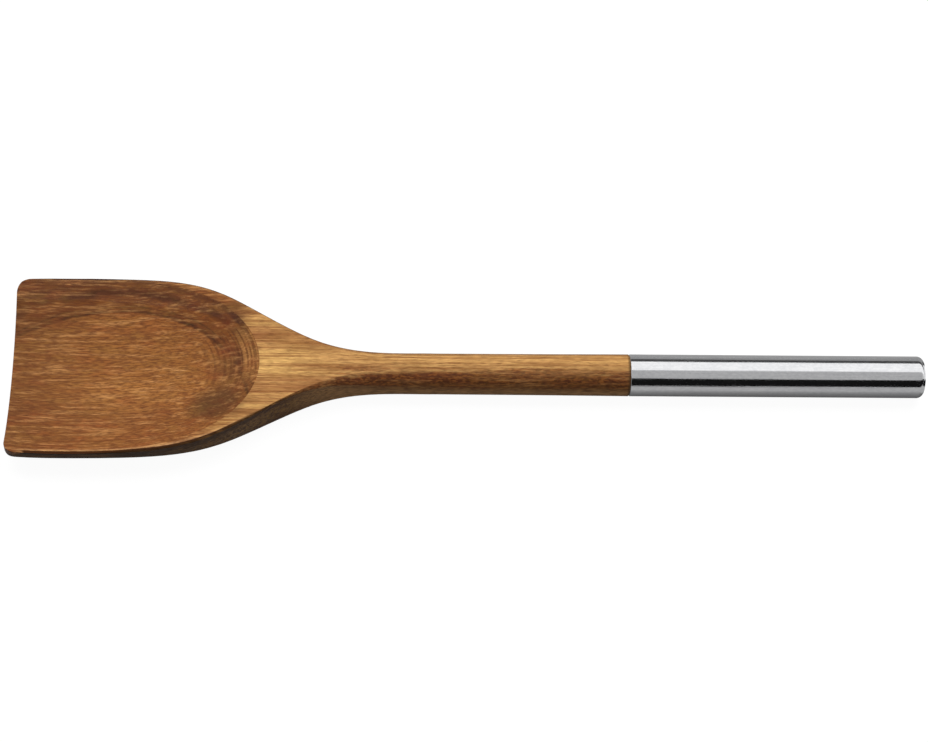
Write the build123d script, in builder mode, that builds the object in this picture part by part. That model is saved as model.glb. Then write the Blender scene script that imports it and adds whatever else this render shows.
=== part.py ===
from build123d import *
import os
from math import cos, exp, radians, sqrt

# Cooking spoon: a square-fronted wooden head and neck in a round steel handle.
# Millimetres.  +X runs from the front edge of the head to the butt of the handle,
# +Y goes across the head and +Z is up.  The spoon lies with its hollow upwards, and
# the origin is on the surface that it lies on, under the middle of its length.

# Lengths along the spoon
head_length = 150.0  # front edge to the waist, where the neck is round and thinnest
neck_length = 69.8  # from there to the seam between wood and steel
handle_length = 106.2

# Head, cut from a board as thick as the handle
head_width = 73.0
corner_radius = 5.0
rim_bevel = 0.5  # of the upper edges
rim_dip = 2.2  # the rim is this much lower beside the hollow than at the shoulder
belly_radius = 81.0  # of the underside, across the head
keel_bevel = 1.2  # of the lower edges
edge_taper = 4.0  # the underside rises by this much to the front edge
front_narrowing = 0.7  # each side draws in by this much to the front edge
flat_bow = 0.02  # of a crown or a wall that is all but flat

# Hollow, scooped out wider than the head, so that it runs out through the front edge
# and both sides; its size is at the level of the board's face
hollow_centre = 20.0  # behind the front edge
hollow_length = 136.0
hollow_width = 82.0
hollow_depth = 10.6

# Neck
waist_diameter = 14.6

# Steel handle: a tube closed by a turned cap, whose spigot fills the tube's bore
handle_diameter = 15.0
tube_wall = 0.8
seam_chamfer = 0.3
cap_thickness = 2.8
cap_rounding = 2.4
spigot_length = 6.0

# Tenon turned on the wood and glued into the tube
tenon_length = 38.0
tenon_chamfer = 1.5
glue_gap = 0.2
groove_count = 1
groove_depth = 0.6
groove_width = 1.6

# Where the head's form changes along it, as shares of its length
shoulder_share = 0.574  # the middle of the sides' S-curve
shoulder_run_share = 0.076
dip_start_share = 0.18
dip_end_share = 0.59
taper_run_share = 0.08
narrowing_run_share = 0.08
rounding_start_share = 0.6  # the edges and the walls begin to turn round
rounding_end_share = 0.94

# Other shares
front_flattening_share = 0.6  # of the belly's radius
hollow_rise_share = 0.6  # height of the scoop's centre, of its own half height
bevel_bow_share = 0.1  # of the bevel; a full rounding would bow by 0.29 of it

overrun = 1.0  # of the waste and its cutter past the wood
station_count = 18
eighths = (22.5, 67.5, 112.5, 157.5)  # degrees from the top, where the neck's arcs meet

# Places that follow from those sizes
overall_length = head_length + neck_length + handle_length
front = -overall_length / 2
seam = front + head_length + neck_length
handle_radius = handle_diameter / 2
bore_radius = handle_radius - tube_wall
tenon_radius = bore_radius - glue_gap
waist_radius = waist_diameter / 2
tube_length = handle_length - cap_thickness
groove_pitch = tenon_length / (groove_count + 1)

# The handle's profiles are drawn above its centre line, from the seam towards the butt
handle_plane = Plane(origin=(seam, 0, handle_radius), x_dir=(1, 0, 0), z_dir=(0, -1, 0))
handle_axis = Axis((seam, 0, handle_radius), (1, 0, 0))


def ease(place, start, end):
    """Rise from nought at start to one at end, with no bend at either."""
    share = min(max((place - start) / (end - start), 0), 1)
    return share**3 * (10 - 15 * share + 6 * share**2)


def half_width(place):
    """Reach of the side from the middle: an S-curve from the head's to the neck's."""
    sides_fall = 1 / (1 + exp((place / head_length - shoulder_share) / shoulder_run_share))
    narrowing = front_narrowing * exp(-place / head_length / narrowing_run_share)
    return waist_radius + (head_width / 2 - waist_radius) * sides_fall - narrowing


def section_face(place):
    """Slice the wood across the grain: a ring of eight arcs.

    On the head they are a crown, two walls and a belly, with a bowed bevel between
    each two.  Along the shoulder they turn into the eighths of a circle, so that the
    edges of the board fade out in the round neck.
    """
    length_share = place / head_length
    reach = half_width(place)
    roundness = ease(length_share, rounding_start_share, rounding_end_share)
    thinning = (handle_radius - waist_radius) * roundness
    dip = rim_dip * (1 - ease(length_share, dip_start_share, dip_end_share))
    taper_share = exp(-length_share / taper_run_share)
    belly = belly_radius * (1 + front_flattening_share * taper_share)
    belly_bow = belly - sqrt(belly**2 - (reach - keel_bevel) ** 2)
    top = handle_diameter - thinning - dip
    keel = thinning + edge_taper * taper_share + belly_bow

    # Where the arcs meet on the right-hand side, from the top down
    board_ends = (
        Vector(reach - rim_bevel, top),
        Vector(reach, top - rim_bevel),
        Vector(reach, keel + keel_bevel),
        Vector(reach - keel_bevel, keel),
    )
    centre = Vector(0, handle_radius)
    round_ends = [centre + Vector(0, waist_radius).rotate(Axis.Z, -lean) for lean in eighths]
    ends = [board + (full - board) * roundness for board, full in zip(board_ends, round_ends)]
    ends += [Vector(-end.X, end.Y) for end in reversed(ends)]

    # How far each arc bows out: the crown, the bevels and walls, and the belly
    rim_bow = bevel_bow_share * rim_bevel
    keel_bow = bevel_bow_share * keel_bevel
    round_bow = waist_radius * (1 - cos(radians(eighths[0])))
    board_bows = (flat_bow, rim_bow, flat_bow, keel_bow, belly_bow)
    bows = [bow + (round_bow - bow) * roundness for bow in board_bows]
    ring_bows = bows[1:] + bows[-2::-1]

    with BuildLine(Plane.YZ.offset(front + place)):
        arcs = [
            SagittaArc(tuple(start), tuple(end), bow, mode=Mode.PRIVATE)
            for start, end, bow in zip(ends, ends[1:] + ends[:1], ring_bows)
        ]
    return Face(Wire(arcs))


# Scoop that leaves the hollow: a ball drawn out along the spoon, its poles at the
# front and the back, where they are clear of the wood
level_share = sqrt(1 - hollow_rise_share**2)
scoop_half_length = hollow_length / 2 / level_share
scoop_half_width = hollow_width / 2 / level_share
scoop_half_height = hollow_depth / (1 - hollow_rise_share)
scoop_place = (
    front + hollow_centre,
    0,
    handle_diameter + hollow_rise_share * scoop_half_height,
)
with BuildPart() as scoop:
    Sphere(1, rotation=(0, 90, 0))
    scale(by=(scoop_half_length, scoop_half_width, scoop_half_height))

# Round-cornered front that is left of the head, and the waste round it
corner_reach = half_width(corner_radius)
with BuildPart() as nose:
    with BuildSketch(Plane.XY.offset(-overrun)):
        with Locations((front, 0)):
            Rectangle(2 * corner_radius, 2 * corner_reach, align=(Align.MIN, Align.CENTER))
        fillet(vertices().group_by(Axis.X)[0], corner_radius)
    extrude(amount=overrun + handle_diameter - rim_dip)
    chamfer(nose.faces().sort_by(Axis.Z)[-1].edges().sort_by(Axis.X)[:-1], rim_bevel)
with BuildPart() as nose_waste:
    with BuildSketch(Plane.XY.offset(-overrun)):
        with Locations((front - overrun, 0)):
            Rectangle(
                corner_radius + overrun,
                head_width + 2 * overrun,
                align=(Align.MIN, Align.CENTER),
            )
    extrude(amount=handle_diameter + 2 * overrun)
    add(nose.part, mode=Mode.SUBTRACT)

# Head, neck and tenon, one piece of wood
places = [head_length * step / station_count for step in range(station_count + 1)]
with BuildPart() as wooden_spoon:
    loft(sections=[section_face(place) for place in places])
    with BuildSketch(handle_plane):
        with BuildLine():
            Line((-neck_length, 0), (-neck_length, waist_radius))
            swell = TangentArc(
                (-neck_length, waist_radius),
                (-seam_chamfer, handle_radius),
                tangent=(1, 0),
            )
            Polyline(swell @ 1, (0, handle_radius - seam_chamfer), (0, 0), (-neck_length, 0))
        make_face()
    revolve(axis=handle_axis)
    add(scoop.part.moved(Location(scoop_place)), mode=Mode.SUBTRACT)
    add(nose_waste.part, mode=Mode.SUBTRACT)
    with BuildSketch(handle_plane):
        Rectangle(tenon_length, tenon_radius, align=Align.MIN)
        chamfer(vertices().group_by(Axis.X)[-1].sort_by(Axis.Y)[-1], tenon_chamfer)
        with Locations((tenon_length / 2, tenon_radius)):
            with GridLocations(groove_pitch, 0, groove_count, 1):
                Rectangle(groove_width, 2 * groove_depth, mode=Mode.SUBTRACT)
    revolve(axis=handle_axis)

# Glue that fills the tenon's grooves and the gap round it
with BuildPart() as glue_bond:
    with BuildSketch(handle_plane):
        with Locations((0, tenon_radius)):
            Rectangle(tenon_length - tenon_chamfer, glue_gap, align=Align.MIN)
        with Locations((tenon_length / 2, tenon_radius - groove_depth)):
            with GridLocations(groove_pitch, 0, groove_count, 1):
                Rectangle(groove_width, groove_depth, align=(Align.CENTER, Align.MIN))
    revolve(axis=handle_axis)

# Tube of the handle, open to the wood at the seam
with BuildPart() as handle_tube:
    with BuildSketch(handle_plane):
        with Locations((0, bore_radius)):
            Rectangle(tube_length, tube_wall, align=Align.MIN)
        chamfer(vertices().group_by(Axis.Y)[-1].sort_by(Axis.X)[0], seam_chamfer)
    revolve(axis=handle_axis)

# Cap that closes the butt
with BuildPart() as end_cap:
    with BuildSketch(handle_plane):
        with Locations((tube_length, 0)):
            Rectangle(cap_thickness, handle_radius, align=Align.MIN)
        fillet(vertices().group_by(Axis.X)[-1].sort_by(Axis.Y)[-1], cap_rounding)
        with Locations((tube_length, bore_radius)):
            Rectangle(spigot_length, bore_radius, align=Align.MAX)
    revolve(axis=handle_axis)

wooden_spoon.part.label = "wooden_spoon"
glue_bond.part.label = "glue_bond"
handle_tube.part.label = "handle_tube"
end_cap.part.label = "end_cap"

os.makedirs("parts", exist_ok=True)
for piece in (wooden_spoon, glue_bond, handle_tube, end_cap):
    export_step(piece.part, f"parts/{piece.part.label}.step")
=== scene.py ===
import math
from types import SimpleNamespace

import bpy
from mathutils import Matrix, Vector


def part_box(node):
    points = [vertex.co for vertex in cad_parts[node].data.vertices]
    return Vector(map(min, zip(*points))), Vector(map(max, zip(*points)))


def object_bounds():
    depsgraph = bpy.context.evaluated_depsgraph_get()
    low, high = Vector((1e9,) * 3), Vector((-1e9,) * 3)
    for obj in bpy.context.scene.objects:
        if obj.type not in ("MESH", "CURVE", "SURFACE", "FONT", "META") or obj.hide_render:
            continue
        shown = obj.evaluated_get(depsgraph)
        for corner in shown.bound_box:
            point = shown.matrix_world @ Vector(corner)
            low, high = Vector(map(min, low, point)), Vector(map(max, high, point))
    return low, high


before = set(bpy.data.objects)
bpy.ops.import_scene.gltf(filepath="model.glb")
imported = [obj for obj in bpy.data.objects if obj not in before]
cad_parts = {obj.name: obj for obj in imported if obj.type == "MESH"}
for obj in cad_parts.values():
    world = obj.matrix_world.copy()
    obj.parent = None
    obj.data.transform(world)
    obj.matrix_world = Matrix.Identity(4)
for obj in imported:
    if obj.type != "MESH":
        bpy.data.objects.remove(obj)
cad_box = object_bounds()

# A wooden cooking spoon in a polished steel handle, lying on a white table under a
# softbox.  +X runs from the front edge of the head to the butt, +Y is the side away from
# the camera and +Z is up.  Metres, but the materials of the pieces work in millimetres.

mm = 0.001
wood_front = Vector(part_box("wooden_spoon")[0]).x / mm
butt = cad_box[1][0]


def colour(red, green, blue):
    """Turn a colour as a screen shows it, 0 to 255, into the shader's linear one."""
    shares = (level / 255 for level in (red, green, blue))
    linear = [
        share / 12.92 if share <= 0.04045 else ((share + 0.055) / 1.055) ** 2.4
        for share in shares
    ]
    return (*linear, 1.0)


# Camera, fitted to the outline in the photograph.  The lens and the sensor are in
# millimetres, as Blender takes them
camera_aim = Vector((-2.21, 1.32, 7.5)) * mm
camera_distance = 914.0 * mm
camera_elevation = math.radians(58.6)
camera_azimuth = math.radians(-4.5)
camera_roll = math.radians(4.25)
camera_lens = 99.14
sensor_width = 36.0
clip_start = 10.0 * mm

# Wood.  Its sizes are in millimetres, places along it are behind its front edge and
# heights are above the table.  A run is where a mask is empty and where it is full.  If
# it has four numbers, the last two are the values there in place of 0 and 1.  Two values
# with "by" in their name hold where there is none of that and where there is most.
front_run = (34.0, 0.0)  # darker towards the front edge
shoulder_run = (64.0, 80.0)  # turns golden
neck_run = (92.0, 118.0)  # the look of the head turns into the neck's
end_grain_and_seam_shade_run = (218.9, 219.3)  # dark end grain, and painted shade in the groove at the seam with the steel
near_to_far = (-5.0, 5.0)  # across, from the near side to the far one

# The sides' S-curve, as the wood is cut
waist_half_width = 7.3
head_widening = 29.2  # of half the width, from the waist to the head
curve_middle = 86.1
curve_run = 11.4

# Growth rings, seen in plan: ovals round a centre in the hollow, and even wood beside
# them on the near side
ring_centre = (34.0, -15.0, 0.0)
ring_reach = (50.0, 40.0, 1.0)
ring_moved_by_wander = (-0.05, 0.05)  # shares of the reach
ring_moved_by_fray = (-0.013, 0.013)
ring_run = (0.9, 1.3)  # shares of the reach that the tints are spread over
ring_tints = (
    (0.0, colour(143, 91, 42)),
    (0.20, colour(132, 79, 36)),
    (0.237, colour(38, 19, 9)),
    (0.268, colour(44, 22, 10)),
    (0.30, colour(98, 54, 23)),
    (0.335, colour(102, 57, 24)),
    (0.36, colour(46, 23, 10)),
    (0.385, colour(104, 58, 24)),
    (0.55, colour(116, 66, 26)),
    (0.63, colour(66, 33, 12)),
    (0.69, colour(62, 31, 11)),
    (0.78, colour(112, 63, 23)),
    (0.88, colour(84, 44, 16)),
    (1.0, colour(124, 74, 32)),
)
even_wood = colour(134, 83, 41)
ringed_run = (-20.0, 0.0)  # across
ringed_shift = (52.0, 80.0, 0.0, 14.0)  # further over, towards the back of the hollow

# Golden top of the shoulder and the neck: paler wood, with painted sheen where it faces up and
# further down the far side of the neck; and the redder layer under it
shoulder_gold = colour(236, 188, 112)
neck_gold = colour(208, 161, 97)
browned_gold = colour(142, 90, 50)
layer_under_gold = colour(140, 83, 38)
gold_edge_on_shoulder = (13.4, 14.6)  # heights
gold_edge_on_neck = (13.1, 15.1)
gold_moved_by_grain = (0.4, -0.6)
gold_moved_by_ragged_edge = (0.3, -0.4)
gold_down_on_far_side = (0.0, 5.0, 0.0, 6.0)  # across the neck
gold_back_on_far_side = (8.0, 20.0, 0.0, 9.0)  # across the shoulder
gold_turn = (0.955, 0.985)  # upward part of the normal, for the gold and its painted sheen
browned_beside_middle = (3.5, 8.5, 0.0, 0.68)
less_browned_outside = (11.0, 17.0, 1.0, 0.55)
browned_in_grain = 0.4

# Heights of the marks on the back wall of the hollow
pale_band_height = (12.6, 13.2)
dark_mark_height = (13.8, 14.2)

# How strongly the fibres show on the back wall and in the gold
fibres_on_wall = 0.6
fibres_in_gold = 0.45

# Rim, as a way in from the edge.  It is further in on the near side, where painted shade
# darkens more of the edge.  A painted highlight lies along the rim inside it
near_rim = (12.0, 56.0, 1.7, 1.0)  # along the wood
far_rim = 0.5
rim_highlight_width = (1.1, 0.4)  # inside the rim
rim_highlight_front = (3.0, 12.0)
rim_highlight_back = (88.0, 60.0)
rim_highlight_far_side = 0.3
rim_highlight_by_streaks = (0.6, 0.2)
edge_shade_width = (0.15, -0.15)
edge_shade_back = (92.0, 78.0)

# Near front corner, where the brown of the top comes down the side
corner_height = (9.0, 1.5, 13.2, 9.6)  # along the wood
corner_fade = (-0.25, 0.25)
corner_run = (13.0, 7.0)
corner_side = (0.0, -5.0)  # across

# Sides, where the normal turns away from the top, darkened partly as dark oiled wood and
# partly with painted shade, which is darker on the far side of the neck.  A turn is the
# upward part of the normal, but the far side's is the part away from the camera
side_at_front = colour(50, 28, 6)
side_at_shoulder = colour(80, 50, 18)
side_run = (30.0, 75.0)
olive_side = colour(164, 122, 66)
olive_run = (50.0, 85.0)
olive_top = (12.8, 10.8)
olive_bottom = (4.0, 7.0)
olive_by_blotches = (1.0, 0.15)
near_neck = (colour(168, 120, 62), colour(118, 78, 40))
far_neck = (colour(112, 76, 42), colour(78, 48, 25))
head_side_turn = (0.86, 0.74)
neck_side_turn = (0.62, 0.0)
far_side_turn = (0.45, 0.8)
neck_underside_turn = (0.4, 0.0)
underside_turn = (-0.97, -0.8, 0.15, 1.0)
head_side_strength = 0.85
neck_side_strength = 0.8

# Surface of the wood, where streaks stand up and pores are sunk
streak_height = 0.35  # as a share of the pores' depth
wood_roughness_by_streaks = (0.46, 0.58)

# Stains that are laid over the wood: the tint, and how strong it is at most
stains = {
    "dark front": (colour(82, 52, 26), 0.55),
    "dark flecks": (colour(68, 32, 12), 0.85),
    "lines in the gold": (colour(126, 76, 36), 0.6),
    "golden patch": (colour(184, 126, 64), 0.35),
    "dark patch": (colour(66, 45, 25), 0.7),
    "red patch": (colour(96, 60, 35), 0.6),
    "pale band": (colour(190, 136, 76), 0.55),
    "cut layers": (colour(70, 38, 18), 0.7),
    "dark mark": (colour(58, 29, 14), 1.0),
    "olive places": (colour(140, 100, 48), 0.3),
    "red places": (colour(138, 66, 34), 0.3),
    "broad bands": (colour(108, 60, 26), 0.26),
    "pale fibres": (colour(206, 149, 90), 0.5),
    "dark streaks": (colour(88, 48, 27), 0.7),
    "dark patch over the streaks": (colour(66, 45, 27), 0.4),
    "pores": (colour(62, 32, 15), 0.5),
    "painted rim highlight": (colour(208, 160, 108), 1.0),
    "painted edge shade": (colour(52, 24, 3), 1.0),
    "underside of the neck": (colour(234, 180, 126), 0.75),
    "streaks of the sides": (colour(50, 28, 12), 0.45),
    "fibres of the sides": (colour(170, 122, 66), 0.3),
    "end grain and seam shade": (colour(70, 50, 28), 0.6),
}

# Soft patches in the hollow and on its back edge: the centre, and the reach each way
patches = {
    "golden patch": ((41.0, -9.0, 6.0), (36.0, 10.0, 9.0)),
    "dark patch": ((73.5, -15.5, 12.0), (14.0, 10.0, 9.0)),
    "red patch": ((79.0, -1.0, 12.0), (12.0, 16.0, 8.0)),
    "back wall": ((80.0, 9.0, 12.0), (20.0, 26.0, 9.0)),
    "pale band": ((85.0, 5.0, 13.8), (12.0, 18.0, 4.0)),
    "dark mark": ((80.5, 19.5, 14.4), (8.0, 9.0, 3.0)),
}
patch_fade = (1.0, 0.3)  # shares of the reach

# Noise: its size along the spoon, across it and up, the two levels that the mask rises
# between, and its detail
noises = {
    "wander": ((26.0, 8.0, 8.0), 0.0, 1.0, 3.0),
    "fray": ((3.0, 1.2, 1.2), 0.0, 1.0, 3.0),
    "dark flecks": ((1.6, 0.7, 0.7), 0.44, 0.56, 2.0),
    "grain": ((48.0, 1.1, 1.1), 0.36, 0.64, 3.0),
    "ragged edge": ((4.0, 0.7, 0.7), 0.34, 0.66, 3.0),
    "lines in the gold": ((34.0, 0.85, 0.85), 0.52, 0.58, 2.0),
    "cut layers": ((90.0, 40.0, 0.3), 0.50, 0.56, 0.0),
    "olive places": ((12.0, 4.0, 4.0), 0.45, 0.65, 2.0),
    "red places": ((9.0, 5.0, 5.0), 0.50, 0.68, 2.0),
    "broad bands": ((44.0, 2.4, 2.4), 0.40, 0.62, 3.0),
    "pale fibres": ((18.0, 1.2, 1.2), 0.50, 0.70, 3.0),
    "dark streaks": ((3.0, 0.42, 0.42), 0.42, 0.60, 4.0),
    "pores": ((3.4, 0.3, 0.3), 0.58, 0.70, 2.0),
    "blotches": ((2.4, 0.9, 0.9), 0.40, 0.60, 3.0),
    "drawing lines": ((24.0, 0.12, 0.12), 0.35, 0.7, 2.0),
    "steel cloud": ((7.0, 3.0, 3.0), 0.35, 0.7, 4.0),
    "mottle": ((1.5, 0.8, 0.8), 0.38, 0.62, 2.0),
    "glue cloud": ((2.0, 1.4, 1.4), 0.3, 0.7, 3.0),
}
pale_fibres_shift = (31.0, 7.0, 3.0)  # so that they don't follow the other noise
pores_shift = (5.0, 2.0, 9.0)

# Steel and glue
bright_steel = colour(204, 204, 205)
dull_steel = colour(176, 177, 180)
dull_in_lines = 0.3
dull_in_cloud = 0.2
dull_in_mottle = 0.25
roughness_by_lines = (0.07, 0.12)
added_roughness_by_cloud = (0.0, 0.05)
clear_glue = colour(214, 196, 140)
cloudy_glue = colour(192, 168, 108)
glue_roughness_by_cloud = (0.22, 0.38)

# Table, and the even light from all round
white = (1.0, 1.0, 1.0, 1.0)
table_size = (12.0, 12.0)
table_grey = (0.08, 0.08, 0.08, 1.0)
table_glow = 0.95
world_light = 0.3
world_seen = 1.0

# Cards that show only in reflections: the angles that they reach between, in degrees from
# the zenith towards the camera, how far off they are, their level and how wide they are
cards = {
    "black flag": (47, 89, 0.9, 0.01, 12.0),
    "grey card": (3, 46, 0.95, 0.68, 3.0),
    "white card": (-50, 2, 0.92, 1.55, 12.0),
    "far dark strip": (-70, -50, 0.9, 0.1, 12.0),
    "far grey card": (-89, -70, 0.9, 0.45, 3.0),
}

# Cloth that shows only in reflections: its levels across, away from the spoon with a painted
# contact shadow close to it, far out on the near side and on the far side
cloth_height = 0.2 * mm
cloth_size = (3.0, 1.7)
cloth_contact_shadow = (0.006, 0.025, 0.12, 0.62)
cloth_far_out = (-0.19, -0.13, 0.03, 1.0)
cloth_far_side = (0.0, 0.01, 1.0, 0.8)

# Wedges of the cloth beyond the butt, which carry the steel's bands on over the cap's
# rounding: where they set in, the point that they spread from, and their levels at angles
# in degrees from +X
wedges_run = (butt + 0.004, butt + 0.007)
wedge_point = (butt + 0.001, 0.0047)
wedge_levels = (
    (-38, 0.62),
    (-34, 0.01),
    (-12, 0.01),
    (-6, 1.2),
    (34, 1.4),
    (37, 0.08),
    (47, 0.08),
    (50, 0.45),
)

# Softbox above the far side
softbox_size = (1.6, 0.85)
softbox_energy = 16.0
softbox_distance = 1.0
softbox_lean = math.radians(-25)


# Helpers for node trees
def add_node(tree, kind, values=(), **settings):
    """Add a node whose inputs are plain values or the outputs of other nodes."""
    node = tree.nodes.new(kind)
    for name, value in settings.items():
        setattr(node, name, value)
    for key, value in dict(values).items():
        if isinstance(value, bpy.types.NodeSocket):
            tree.links.new(value, node.inputs[key])
        else:
            node.inputs[key].default_value = value
    return node


def math_node(tree, operation, *values):
    return add_node(tree, "ShaderNodeMath", enumerate(values), operation=operation).outputs[0]


def product(tree, first, *others):
    """Multiply masks or values."""
    for other in others:
        first = math_node(tree, "MULTIPLY", first, other)
    return first


def total(tree, first, *others):
    for other in others:
        first = math_node(tree, "ADD", first, other)
    return first


def difference(tree, first, second):
    return math_node(tree, "SUBTRACT", first, second)


def outside(tree, mask):
    """Mask of everywhere else."""
    return difference(tree, 1.0, mask)


def vector_node(tree, operation, *values):
    node = add_node(tree, "ShaderNodeVectorMath", enumerate(values), operation=operation)
    return node.outputs["Vector"]


def split_vector(tree, vector):
    return add_node(tree, "ShaderNodeSeparateXYZ", {"Vector": vector}).outputs


def ranged(tree, value, start, end, to_start=0.0, to_end=1.0, smooth=False):
    """Stretch a value from one range to another, and stop it at the ends."""
    values = {
        "Value": value,
        "From Min": start,
        "From Max": end,
        "To Min": to_start,
        "To Max": to_end,
    }
    kind = "SMOOTHSTEP" if smooth else "LINEAR"
    return add_node(tree, "ShaderNodeMapRange", values, interpolation_type=kind).outputs["Result"]


def between(tree, mask, first, second):
    """Go from the first value to the second one as the mask fills."""
    values = {0: mask, 2: first, 3: second}
    return add_node(tree, "ShaderNodeMix", values, data_type="FLOAT").outputs[0]


def mixed(tree, mask, first, second):
    """Go from the first colour to the second one as the mask fills."""
    values = {0: mask, 6: first, 7: second}
    return add_node(tree, "ShaderNodeMix", values, data_type="RGBA").outputs[2]


def colour_ramp(tree, value, stops):
    node = add_node(tree, "ShaderNodeValToRGB", {"Fac": value})
    ramp = node.color_ramp
    while len(ramp.elements) < len(stops):
        ramp.elements.new(1.0)
    for element, (position, tint) in zip(ramp.elements, stops):
        element.position = position
        element.color = tint
    return node.outputs["Color"]


def new_material(name):
    material = bpy.data.materials.new(name)
    material.use_nodes = True
    tree = material.node_tree
    tree.nodes.clear()
    return material, tree


def finish_material(tree, surface):
    add_node(tree, "ShaderNodeOutputMaterial", {"Surface": surface.outputs[0]})


def noise_group():
    """Noise drawn out along X, Y and Z, as a mask between two levels."""
    tree = bpy.data.node_groups.new("drawn out noise", "ShaderNodeTree")
    interface = tree.interface
    for name in ("Place", "Size"):
        interface.new_socket(name, in_out="INPUT", socket_type="NodeSocketVector")
    for name in ("Detail", "Low", "High"):
        interface.new_socket(name, in_out="INPUT", socket_type="NodeSocketFloat")
    interface.new_socket("Mask", in_out="OUTPUT", socket_type="NodeSocketFloat")
    given = add_node(tree, "NodeGroupInput").outputs
    place = vector_node(tree, "DIVIDE", given["Place"], given["Size"])
    values = {"Vector": place, "Scale": 1.0, "Detail": given["Detail"]}
    noise = add_node(tree, "ShaderNodeTexNoise", values)
    mask = ranged(tree, noise.outputs["Fac"], given["Low"], given["High"])
    add_node(tree, "NodeGroupOutput", {"Mask": mask})
    return tree


drawn_out_noise = noise_group()


def noise_mask(tree, place, name):
    """Mask of the named blotches or streaks."""
    size, low, high, detail = noises[name]
    values = {"Place": place, "Size": size, "Detail": detail, "Low": low, "High": high}
    return add_node(tree, "ShaderNodeGroup", values, node_tree=drawn_out_noise).outputs["Mask"]


def shifted(tree, place, shift):
    return vector_node(tree, "ADD", place, shift)


def millimetres(tree):
    """The piece's own coordinates in millimetres."""
    texture = add_node(tree, "ShaderNodeTexCoord")
    return vector_node(tree, "MULTIPLY", texture.outputs["Object"], (1 / mm, 1 / mm, 1 / mm))


# Wood
def stained(tree, wood, name, *masks):
    """Lay a stain over the wood where all the masks are."""
    tint, strength = stains[name]
    return mixed(tree, product(tree, *masks, strength), wood, tint)


def way_from(tree, place, centre, reach):
    """How far a place is from a centre, in shares of the reach."""
    centre = Vector(centre) + Vector((wood_front, 0, 0))
    offset = vector_node(tree, "DIVIDE", vector_node(tree, "SUBTRACT", place, centre), reach)
    length = add_node(tree, "ShaderNodeVectorMath", {0: offset}, operation="LENGTH")
    return length.outputs["Value"]


def patch(tree, place, name):
    """Mask of a soft-edged patch, full in its middle."""
    return ranged(tree, way_from(tree, place, *patches[name]), *patch_fade, smooth=True)


def wood_places(tree):
    """What the wood's looks follow: places in millimetres, the normal and shared masks."""
    place = millimetres(tree)
    along, across, height = split_vector(tree, place)
    behind_front = difference(tree, along, wood_front)
    normal = split_vector(tree, add_node(tree, "ShaderNodeTexCoord").outputs["Normal"])
    return SimpleNamespace(
        place=place,
        along=along,
        across=across,
        height=height,
        behind_front=behind_front,
        off_middle=math_node(tree, "ABSOLUTE", across),
        turned_up=normal["Z"],
        neck=ranged(tree, behind_front, *neck_run, smooth=True),
        far_side=ranged(tree, normal["Y"], *far_side_turn),
        grain=noise_mask(tree, place, "grain"),
        pale_fibres=noise_mask(tree, shifted(tree, place, pale_fibres_shift), "pale fibres"),
        streaks=noise_mask(tree, place, "dark streaks"),
        pores=noise_mask(tree, shifted(tree, place, pores_shift), "pores"),
    )


def run_at(tree, at, on_head, on_neck):
    """Ends of a run that changes from the head's to the neck's."""
    return [between(tree, at.neck, *ends) for ends in zip(on_head, on_neck)]


def growth_rings(tree, at):
    """Rings that wander and fray, beside the even wood of the near side."""
    in_plan = add_node(tree, "ShaderNodeCombineXYZ", {"X": at.along, "Y": at.across}).outputs[0]
    ring = total(
        tree,
        way_from(tree, in_plan, ring_centre, ring_reach),
        between(tree, noise_mask(tree, at.place, "wander"), *ring_moved_by_wander),
        between(tree, noise_mask(tree, at.place, "fray"), *ring_moved_by_fray),
    )
    rings = colour_ramp(tree, ranged(tree, ring, *ring_run), ring_tints)
    shift = ranged(tree, at.behind_front, *ringed_shift)
    ringed = ranged(tree, total(tree, at.across, shift), *ringed_run, smooth=True)
    return mixed(tree, ringed, even_wood, rings)


def under_gold(tree, at):
    """The layer under the neck's golden top, with dark flecks."""
    return stained(tree, layer_under_gold, "dark flecks", noise_mask(tree, at.place, "dark flecks"))


def golden_mask(tree, at):
    """The flat top of the shoulder and the top of the neck, down to a ragged edge: paler wood, with
    painted sheen where it faces up.
    """
    back = ranged(tree, at.across, *gold_back_on_far_side)
    shoulder = ranged(tree, difference(tree, at.behind_front, back), *shoulder_run, smooth=True)
    flat_or_neck = math_node(tree, "MAXIMUM", ranged(tree, at.turned_up, *gold_turn), at.neck)
    height = total(
        tree,
        at.height,
        between(tree, at.grain, *gold_moved_by_grain),
        between(tree, noise_mask(tree, at.place, "ragged edge"), *gold_moved_by_ragged_edge),
        product(tree, ranged(tree, at.across, *gold_down_on_far_side), at.neck),
    )
    edge = run_at(tree, at, gold_edge_on_shoulder, gold_edge_on_neck)
    return product(tree, ranged(tree, height, *edge, smooth=True), shoulder, flat_or_neck)


def golden_wood(tree, at):
    """Brightest along the middle, browner beside it, with thin dark lines."""
    browned = total(
        tree,
        product(tree, at.grain, browned_in_grain),
        product(
            tree,
            ranged(tree, at.off_middle, *browned_beside_middle),
            ranged(tree, at.off_middle, *less_browned_outside),
        ),
    )
    brightest = mixed(tree, at.neck, shoulder_gold, neck_gold)
    gold = mixed(tree, browned, brightest, browned_gold)
    return stained(tree, gold, "lines in the gold", noise_mask(tree, at.place, "lines in the gold"))


def hollow_patches(tree, at, wood, dark_patch):
    """A golden patch, a dark one and a redder one in the hollow."""
    wood = stained(tree, wood, "golden patch", patch(tree, at.place, "golden patch"))
    wood = stained(tree, wood, "dark patch", dark_patch)
    return stained(tree, wood, "red patch", patch(tree, at.place, "red patch"))


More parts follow.
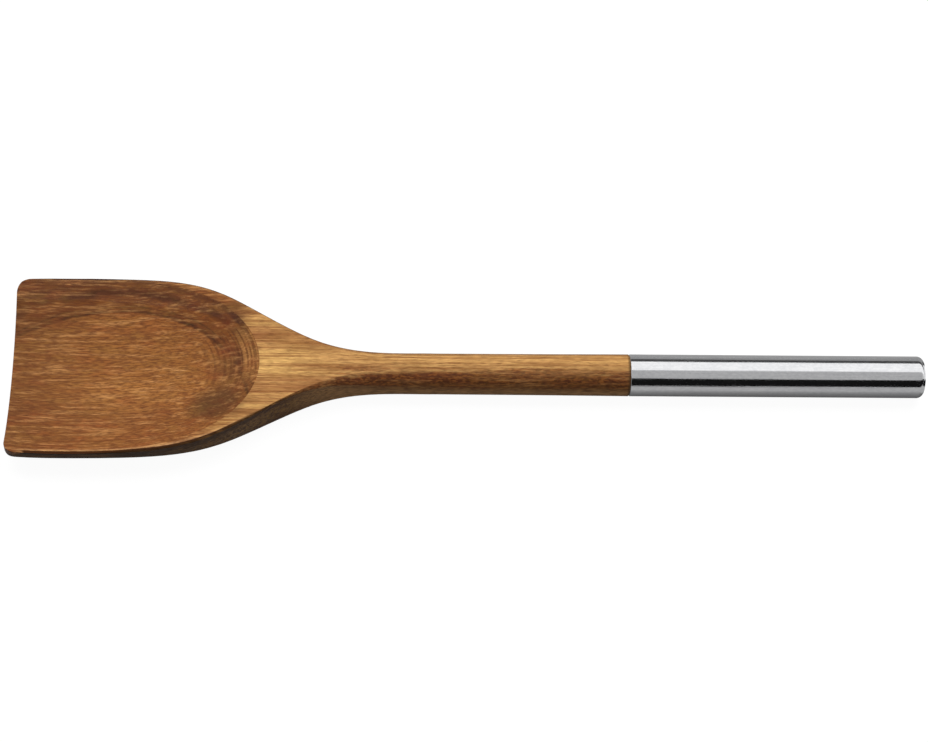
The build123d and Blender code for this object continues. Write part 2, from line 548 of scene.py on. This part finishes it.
def wall_lines(tree, at, wood, back_wall, off_gold):
    """Lines along the back wall of the hollow, which cuts thin layers there."""
    band = ranged(tree, at.height, *pale_band_height)
    mark = ranged(tree, at.height, *dark_mark_height)
    layers = noise_mask(tree, at.place, "cut layers")
    wood = stained(tree, wood, "pale band", band, patch(tree, at.place, "pale band"), off_gold)
    wood = stained(tree, wood, "cut layers", layers, back_wall)
    return stained(tree, wood, "dark mark", mark, patch(tree, at.place, "dark mark"), off_gold)


def changing_tint(tree, at, wood, off_gold):
    """More olive places, and redder ones off the gold."""
    wood = stained(tree, wood, "olive places", noise_mask(tree, at.place, "olive places"))
    return stained(tree, wood, "red places", noise_mask(tree, at.place, "red places"), off_gold)


def fibres(tree, at, wood, golden, back_wall, dark_patch):
    """Bands, fibres, streaks and pores, some fainter on the back wall and in the gold."""
    strength = product(
        tree,
        between(tree, back_wall, 1.0, fibres_on_wall),
        between(tree, golden, 1.0, fibres_in_gold),
    )
    wood = stained(tree, wood, "broad bands", noise_mask(tree, at.place, "broad bands"))
    wood = stained(tree, wood, "pale fibres", at.pale_fibres, strength)
    wood = stained(tree, wood, "dark streaks", at.streaks, strength)
    wood = stained(tree, wood, "dark patch over the streaks", dark_patch)
    return stained(tree, wood, "pores", at.pores)


def way_inside_rim(tree, at):
    """Way from the rim in towards the middle, from the S-curve that the sides follow."""
    power = math_node(tree, "DIVIDE", difference(tree, at.behind_front, curve_middle), curve_run)
    narrowing = total(tree, math_node(tree, "EXPONENT", power), 1.0)
    half_width = total(tree, math_node(tree, "DIVIDE", head_widening, narrowing), waist_half_width)
    near = ranged(tree, at.behind_front, *near_rim)
    rim = between(tree, ranged(tree, at.across, *near_to_far), near, far_rim)
    return difference(tree, difference(tree, half_width, at.off_middle), rim)


def near_corner(tree, at):
    """Mask of the near front corner, above the height that the brown comes down to."""
    above = difference(tree, at.height, ranged(tree, at.behind_front, *corner_height))
    return product(
        tree,
        ranged(tree, above, *corner_fade),
        ranged(tree, at.behind_front, *corner_run),
        ranged(tree, at.across, *corner_side),
    )


def rim_marks(tree, at, wood, off_corner):
    """A painted highlight along the rim, and painted shade over the edge beside it."""
    inside = way_inside_rim(tree, at)
    rim_highlight = product(
        tree,
        ranged(tree, inside, *rim_highlight_width),
        ranged(tree, at.behind_front, *rim_highlight_front),
        ranged(tree, at.behind_front, *rim_highlight_back),
        ranged(tree, at.across, *near_to_far, 1.0, rim_highlight_far_side),
        between(tree, at.streaks, *rim_highlight_by_streaks),
    )
    edge = product(
        tree,
        ranged(tree, inside, *edge_shade_width),
        ranged(tree, at.behind_front, *edge_shade_back),
        off_corner,
    )
    # Painted highlight along the rim, then painted shade over the edge
    wood = stained(tree, wood, "painted rim highlight", rim_highlight)
    return stained(tree, wood, "painted edge shade", edge)


def head_sides(tree, at, blotches):
    """Brown at the front, and more olive half-way up beside the shoulder."""
    brown = mixed(tree, ranged(tree, at.behind_front, *side_run), side_at_front, side_at_shoulder)
    olive = product(
        tree,
        ranged(tree, at.behind_front, *olive_run),
        ranged(tree, at.height, *olive_top),
        ranged(tree, at.height, *olive_bottom),
        between(tree, blotches, *olive_by_blotches),
    )
    return mixed(tree, olive, brown, olive_side)


def neck_sides(tree, at, blotches):
    """Blotched, darker on the far side with painted shade, and paler towards the underside."""
    near = mixed(tree, blotches, *near_neck)
    far = mixed(tree, blotches, *far_neck)
    underside = ranged(tree, at.turned_up, *neck_underside_turn)
    return stained(tree, mixed(tree, at.far_side, near, far), "underside of the neck", underside)


def side_wood_and_shade(tree, at):
    """Sides of the head and the neck, dark oiled wood with painted shade, with the streaks and the
    fibres of the top.
    """
    blotches = noise_mask(tree, at.place, "blotches")
    side = mixed(tree, at.neck, head_sides(tree, at, blotches), neck_sides(tree, at, blotches))
    side = stained(tree, side, "streaks of the sides", at.streaks)
    return stained(tree, side, "fibres of the sides", at.pale_fibres)


def side_shade_mask(tree, at, off_corner):
    """Where the wood turns away from the top and gets painted shade, but little of the flat
    underside.
    """
    turned = ranged(tree, at.turned_up, *run_at(tree, at, head_side_turn, neck_side_turn))
    return product(
        tree,
        math_node(tree, "MAXIMUM", turned, at.far_side),
        ranged(tree, at.turned_up, *underside_turn),
        off_corner,
        between(tree, at.neck, head_side_strength, neck_side_strength),
    )


def wood_colour(tree, at):
    """Oiled hardwood: rings on the head, a golden shoulder and neck partly from painted sheen, and
    dark sides partly from painted shade.
    """
    golden = golden_mask(tree, at)
    off_gold = outside(tree, golden)
    off_corner = outside(tree, near_corner(tree, at))
    dark_patch = patch(tree, at.place, "dark patch")
    back_wall = product(tree, patch(tree, at.place, "back wall"), off_gold)

    wood = growth_rings(tree, at)
    wood = stained(tree, wood, "dark front", ranged(tree, at.behind_front, *front_run))
    wood = mixed(tree, at.neck, wood, under_gold(tree, at))
    # Golden top: paler wood, with painted sheen where it faces up
    wood = mixed(tree, golden, wood, golden_wood(tree, at))
    wood = hollow_patches(tree, at, wood, dark_patch)
    wood = wall_lines(tree, at, wood, back_wall, off_gold)
    wood = changing_tint(tree, at, wood, off_gold)
    wood = fibres(tree, at, wood, golden, back_wall, dark_patch)
    wood = rim_marks(tree, at, wood, off_corner)
    # Sides: partly dark oiled wood, partly painted shade where the wood turns away from the top
    wood = mixed(tree, side_shade_mask(tree, at, off_corner), wood, side_wood_and_shade(tree, at))
    # Dark end grain and painted shade in the groove at the seam
    return stained(tree, wood, "end grain and seam shade", ranged(tree, at.behind_front, *end_grain_and_seam_shade_run))


def wood_material():
    """Satin wood, with raised streaks and sunk pores."""
    material, tree = new_material("oiled wood")
    at = wood_places(tree)
    relief = difference(tree, product(tree, at.streaks, streak_height), at.pores)
    bump_values = {"Strength": 0.35, "Distance": 0.12 * mm, "Height": relief}
    bump = add_node(tree, "ShaderNodeBump", bump_values)
    surface_values = {
        "Base Color": wood_colour(tree, at),
        "Roughness": between(tree, at.streaks, *wood_roughness_by_streaks),
        "IOR": 1.45,
        "Specular IOR Level": 0.14,
        "Normal": bump.outputs["Normal"],
    }
    finish_material(tree, add_node(tree, "ShaderNodeBsdfPrincipled", surface_values))
    return material


# Steel and glue
def steel_material():
    """Polished stainless steel with the faint lines of drawing along the tube."""
    material, tree = new_material("polished steel")
    place = millimetres(tree)
    lines = noise_mask(tree, place, "drawing lines")
    cloud = noise_mask(tree, place, "steel cloud")
    mottle = noise_mask(tree, place, "mottle")
    dulled = total(
        tree,
        product(tree, lines, dull_in_lines),
        product(tree, cloud, dull_in_cloud),
        product(tree, mottle, dull_in_mottle),
    )
    roughness = total(
        tree,
        between(tree, lines, *roughness_by_lines),
        between(tree, cloud, *added_roughness_by_cloud),
    )
    bump_values = {"Strength": 0.08, "Distance": 0.02 * mm, "Height": lines}
    bump = add_node(tree, "ShaderNodeBump", bump_values)
    surface_values = {
        "Base Color": mixed(tree, dulled, bright_steel, dull_steel),
        "Metallic": 1.0,
        "Roughness": roughness,
        "Normal": bump.outputs["Normal"],
    }
    finish_material(tree, add_node(tree, "ShaderNodeBsdfPrincipled", surface_values))
    return material


def glue_material():
    """Cured adhesive, amber and slightly cloudy."""
    material, tree = new_material("cured adhesive")
    cloud = noise_mask(tree, millimetres(tree), "glue cloud")
    surface_values = {
        "Base Color": mixed(tree, cloud, clear_glue, cloudy_glue),
        "Roughness": between(tree, cloud, *glue_roughness_by_cloud),
    }
    finish_material(tree, add_node(tree, "ShaderNodeBsdfPrincipled", surface_values))
    return material


def dress(node_name, material):
    """Give a CAD piece its finished material in place of the plain one."""
    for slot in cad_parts[node_name].material_slots:
        slot.material = material


dress("wooden_spoon", wood_material())
steel = steel_material()
dress("handle_tube", steel)
dress("end_cap", steel)
dress("glue_bond", glue_material())


# Stage
def stage_plane(name, centre, size, turn, material):
    """A flat card, face up before it turns about X."""
    mesh = bpy.data.meshes.new(name)
    half_width, half_depth = (length / 2 for length in size)
    corners = (
        (-half_width, -half_depth, 0),
        (half_width, -half_depth, 0),
        (half_width, half_depth, 0),
        (-half_width, half_depth, 0),
    )
    rotation = Matrix.Rotation(turn, 3, "X")
    turned = [rotation @ Vector(corner) + Vector(centre) for corner in corners]
    mesh.from_pydata(turned, [], [(0, 1, 2, 3)])
    mesh.materials.append(material)
    card = bpy.data.objects.new(name, mesh)
    bpy.context.scene.collection.objects.link(card)
    return card


def seen_directly(tree):
    """Mask of what the camera sees, straight or in metal or glass, and of no other light."""
    rays = add_node(tree, "ShaderNodeLightPath").outputs
    seen = math_node(tree, "MAXIMUM", rays["Is Camera Ray"], rays["Is Glossy Ray"])
    return math_node(tree, "MAXIMUM", seen, rays["Is Transmission Ray"])


def glow(tree, level):
    return add_node(tree, "ShaderNodeEmission", {"Color": white, "Strength": level})


def table_material():
    """White table: it glows where it is seen, and keeps shadows."""
    material, tree = new_material("white table")
    diffuse = add_node(tree, "ShaderNodeBsdfDiffuse", {"Color": table_grey})
    seen = glow(tree, product(tree, seen_directly(tree), table_glow))
    both = add_node(tree, "ShaderNodeAddShader", {0: diffuse.outputs[0], 1: seen.outputs[0]})
    finish_material(tree, both)
    return material


def card_material(name, level):
    material, tree = new_material(name)
    finish_material(tree, glow(tree, level))
    return material


def wedge_level(tree, along, across):
    """Level of the cloth beyond the butt, by the angle round the wedges' point."""
    point_along, point_across = wedge_point
    angle = math_node(
        tree,
        "ARCTAN2",
        difference(tree, across, point_across),
        difference(tree, along, point_along),
    )
    share = ranged(tree, angle, math.radians(-90), math.radians(90))
    stops = [((degrees + 90) / 180, (level, level, level, 1.0)) for degrees, level in wedge_levels]
    return colour_ramp(tree, share, stops)


def cloth_material():
    """Grey cloth with a painted contact shadow close under the spoon, and darker far out on the
    near side.
    """
    material, tree = new_material("grey cloth")
    position = split_vector(tree, add_node(tree, "ShaderNodeNewGeometry").outputs["Position"])
    along, across = position["X"], position["Y"]
    # Painted contact shadow in the cloth's glow, close to the spoon
    beside_spoon = product(
        tree,
        ranged(tree, math_node(tree, "ABSOLUTE", across), *cloth_contact_shadow),
        ranged(tree, across, *cloth_far_out),
        ranged(tree, across, *cloth_far_side),
    )
    beyond_butt = wedge_level(tree, along, across)
    level = between(tree, ranged(tree, along, *wedges_run), beside_spoon, beyond_butt)
    finish_material(tree, glow(tree, level))
    return material


def show_in_reflections_only(card):
    """Hide a card from the camera, and keep its light and its shadow off the table."""
    card.visible_camera = False
    card.visible_diffuse = False
    card.visible_shadow = False
    card.visible_transmission = False


def reflected_card(name, start, end, distance, level, width):
    """A card that faces the spoon's middle, between two angles from the zenith."""
    middle = math.radians((start + end) / 2)
    depth = 2 * distance * math.tan(math.radians(end - start) / 2)
    centre = Vector((0.0, -math.sin(middle), math.cos(middle))) * distance
    card = stage_plane(name, centre, (width, depth), middle, card_material(name, level))
    show_in_reflections_only(card)


stage_plane("table", (0, 0, 0), table_size, 0.0, table_material())
for card_name, card_values in cards.items():
    reflected_card(card_name, *card_values)
cloth = stage_plane("grey cloth", (0, 0, cloth_height), cloth_size, 0.0, cloth_material())
show_in_reflections_only(cloth)

# Softbox
softbox_data = bpy.data.lights.new("softbox", "AREA")
softbox_data.shape = "RECTANGLE"
softbox_data.size, softbox_data.size_y = softbox_size
softbox_data.energy = softbox_energy
softbox = bpy.data.objects.new("softbox", softbox_data)
softbox_way = Vector((0.0, -math.sin(softbox_lean), math.cos(softbox_lean)))
softbox_turn = Matrix.Rotation(softbox_lean, 4, "X")
softbox.matrix_world = Matrix.Translation(softbox_way * softbox_distance) @ softbox_turn
softbox.visible_glossy = False
bpy.context.scene.collection.objects.link(softbox)

# Even light from all round, which looks white where it is seen
world = bpy.data.worlds.new("studio")
world.use_nodes = True
world_tree = world.node_tree
world_tree.nodes.clear()
world_strength = between(world_tree, seen_directly(world_tree), world_light, world_seen)
world_values = {"Color": white, "Strength": world_strength}
background = add_node(world_tree, "ShaderNodeBackground", world_values)
add_node(world_tree, "ShaderNodeOutputWorld", {"Surface": background.outputs[0]})
bpy.context.scene.world = world

# Camera
back = Vector(
    (
        math.sin(camera_azimuth) * math.cos(camera_elevation),
        -math.cos(camera_azimuth) * math.cos(camera_elevation),
        math.sin(camera_elevation),
    )
)
level_right = Vector((math.cos(camera_azimuth), math.sin(camera_azimuth), 0.0))
level_up = back.cross(level_right)
right = level_right * math.cos(camera_roll) + level_up * math.sin(camera_roll)
up = back.cross(right)
camera_data = bpy.data.cameras.new("camera")
camera_data.lens = camera_lens
camera_data.sensor_width = sensor_width
camera_data.clip_start = clip_start
camera = bpy.data.objects.new("camera", camera_data)
camera_turn = Matrix((right, up, back)).transposed().to_4x4()
camera.matrix_world = Matrix.Translation(camera_aim + back * camera_distance) @ camera_turn
bpy.context.scene.collection.objects.link(camera)
bpy.context.scene.camera = camera

bpy.context.scene.view_settings.view_transform = "Standard"
